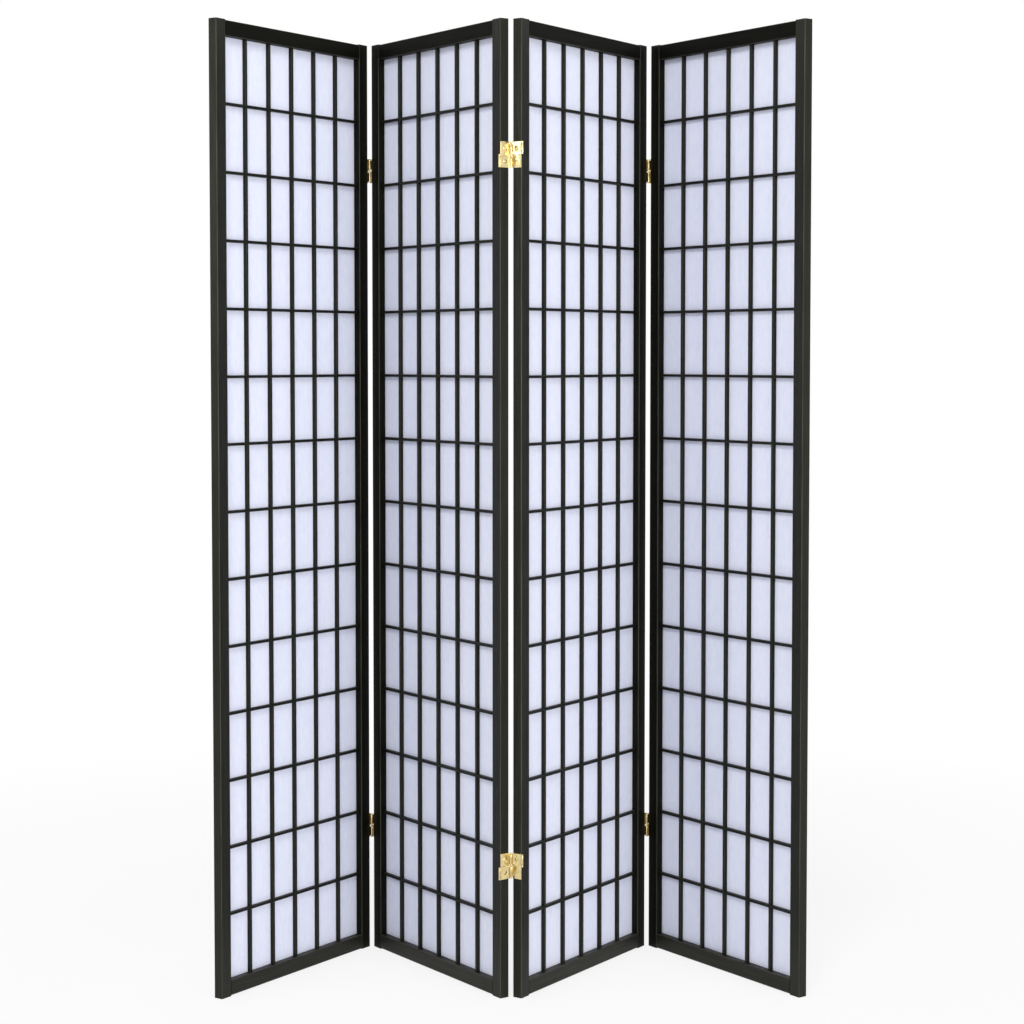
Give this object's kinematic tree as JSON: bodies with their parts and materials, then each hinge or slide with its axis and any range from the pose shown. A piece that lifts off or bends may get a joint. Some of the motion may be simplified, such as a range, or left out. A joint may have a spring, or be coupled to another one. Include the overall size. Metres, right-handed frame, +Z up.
{
  "type": "shoji folding screen",
  "caption": "Free-standing folding screen of hinged wooden panels, each with a dark lattice over pale paper, standing in a zigzag on its stiles.",
  "frame": {"origin": "centre of the standing screen's footprint, on the floor", "axes": "+Z up; +X along the line of the panels, from the first panel to the fourth; the lattice faces -Y"},
  "size_m": [1.0878, 0.3836, 1.7844],
  "materials": {
    "dark_wood": "dark stained wood, satin",
    "paper": "fibrous white paper, matte",
    "brass": "polished brass"
  },
  "bodies": {
    "panel_1": {"panel_1_left_stile": "dark_wood", "panel_1_right_stile": "dark_wood", "panel_1_top_rail": "dark_wood", "panel_1_bottom_rail": "dark_wood", "panel_1_vertical_muntins": "dark_wood", "panel_1_horizontal_muntins": "dark_wood", "panel_1_paper": "paper", "panel_1_paper_beads": "dark_wood", "hinges_1_2_left_leaves": "brass"},
    "panel_2": {"panel_2_left_stile": "dark_wood", "panel_2_right_stile": "dark_wood", "panel_2_top_rail": "dark_wood", "panel_2_bottom_rail": "dark_wood", "panel_2_vertical_muntins": "dark_wood", "panel_2_horizontal_muntins": "dark_wood", "panel_2_paper": "paper", "panel_2_paper_beads": "dark_wood", "hinges_1_2_right_leaves": "brass", "hinges_2_3_left_leaves": "brass"},
    "panel_3": {"panel_3_left_stile": "dark_wood", "panel_3_right_stile": "dark_wood", "panel_3_top_rail": "dark_wood", "panel_3_bottom_rail": "dark_wood", "panel_3_vertical_muntins": "dark_wood", "panel_3_horizontal_muntins": "dark_wood", "panel_3_paper": "paper", "panel_3_paper_beads": "dark_wood", "hinges_2_3_right_leaves": "brass", "hinges_3_4_left_leaves": "brass"},
    "panel_4": {"panel_4_left_stile": "dark_wood", "panel_4_right_stile": "dark_wood", "panel_4_top_rail": "dark_wood", "panel_4_bottom_rail": "dark_wood", "panel_4_vertical_muntins": "dark_wood", "panel_4_horizontal_muntins": "dark_wood", "panel_4_paper": "paper", "panel_4_paper_beads": "dark_wood", "hinges_3_4_right_leaves": "brass"},
    "upper_links_1_2": {"hinges_1_2_upper_links": "brass", "hinges_1_2_upper_pins": "brass"},
    "lower_links_1_2": {"hinges_1_2_lower_links": "brass", "hinges_1_2_lower_pins": "brass"},
    "upper_links_2_3": {"hinges_2_3_upper_links": "brass", "hinges_2_3_upper_pins": "brass"},
    "lower_links_2_3": {"hinges_2_3_lower_links": "brass", "hinges_2_3_lower_pins": "brass"},
    "upper_links_3_4": {"hinges_3_4_upper_links": "brass", "hinges_3_4_upper_pins": "brass"},
    "lower_links_3_4": {"hinges_3_4_lower_links": "brass", "hinges_3_4_lower_pins": "brass"}
  },
  "joints": [
    {"name": "fold_1_backward", "type": "hinge", "parent": "panel_2", "child": "lower_links_1_2", "pos_m": [-0.25363, 0.18959, 0.892], "axis": [0, 0, 1], "range_deg": [-179, 0]},
    {"name": "fold_1_forward", "type": "hinge", "parent": "lower_links_1_2", "child": "panel_1", "pos_m": [-0.27415, 0.17533, 0.892], "axis": [0, 0, 1], "range_deg": [-110.4, 68.6]},
    {"name": "fold_1_upper_link", "type": "hinge", "parent": "panel_1", "child": "upper_links_1_2", "pos_m": [-0.29468, 0.18959, 0.892], "axis": [0, 0, -1], "range_deg": [-181, 2]},
    {"name": "fold_2_forward", "type": "hinge", "parent": "panel_2", "child": "lower_links_2_3", "pos_m": [-0.02053, -0.18959, 0.892], "axis": [0, 0, 1], "range_deg": [-150, 0]},
    {"name": "fold_2_backward", "type": "hinge", "parent": "lower_links_2_3", "child": "panel_3", "pos_m": [0, -0.17533, 0.892], "axis": [0, 0, 1], "range_deg": [-110.4, 68.6]},
    {"name": "fold_2_upper_link", "type": "hinge", "parent": "panel_3", "child": "upper_links_2_3", "pos_m": [0.02053, -0.18959, 0.892], "axis": [0, 0, -1], "range_deg": [-152, 2]},
    {"name": "fold_3_backward", "type": "hinge", "parent": "panel_3", "child": "upper_links_3_4", "pos_m": [0.25363, 0.18959, 0.892], "axis": [0, 0, -1], "range_deg": [-179, 0]},
    {"name": "fold_3_forward", "type": "hinge", "parent": "upper_links_3_4", "child": "panel_4", "pos_m": [0.27415, 0.17533, 0.892], "axis": [0, 0, -1], "range_deg": [-110.4, 68.6]},
    {"name": "fold_3_lower_link", "type": "hinge", "parent": "panel_4", "child": "lower_links_3_4", "pos_m": [0.29468, 0.18959, 0.892], "axis": [0, 0, 1], "range_deg": [-181, 2]}
  ],
  "couplings": [
    {"joint": "fold_1_upper_link", "follows": "fold_1_backward", "ratio": 1},
    {"joint": "fold_2_upper_link", "follows": "fold_2_forward", "ratio": 1},
    {"joint": "fold_3_lower_link", "follows": "fold_3_backward", "ratio": 1}
  ]
}
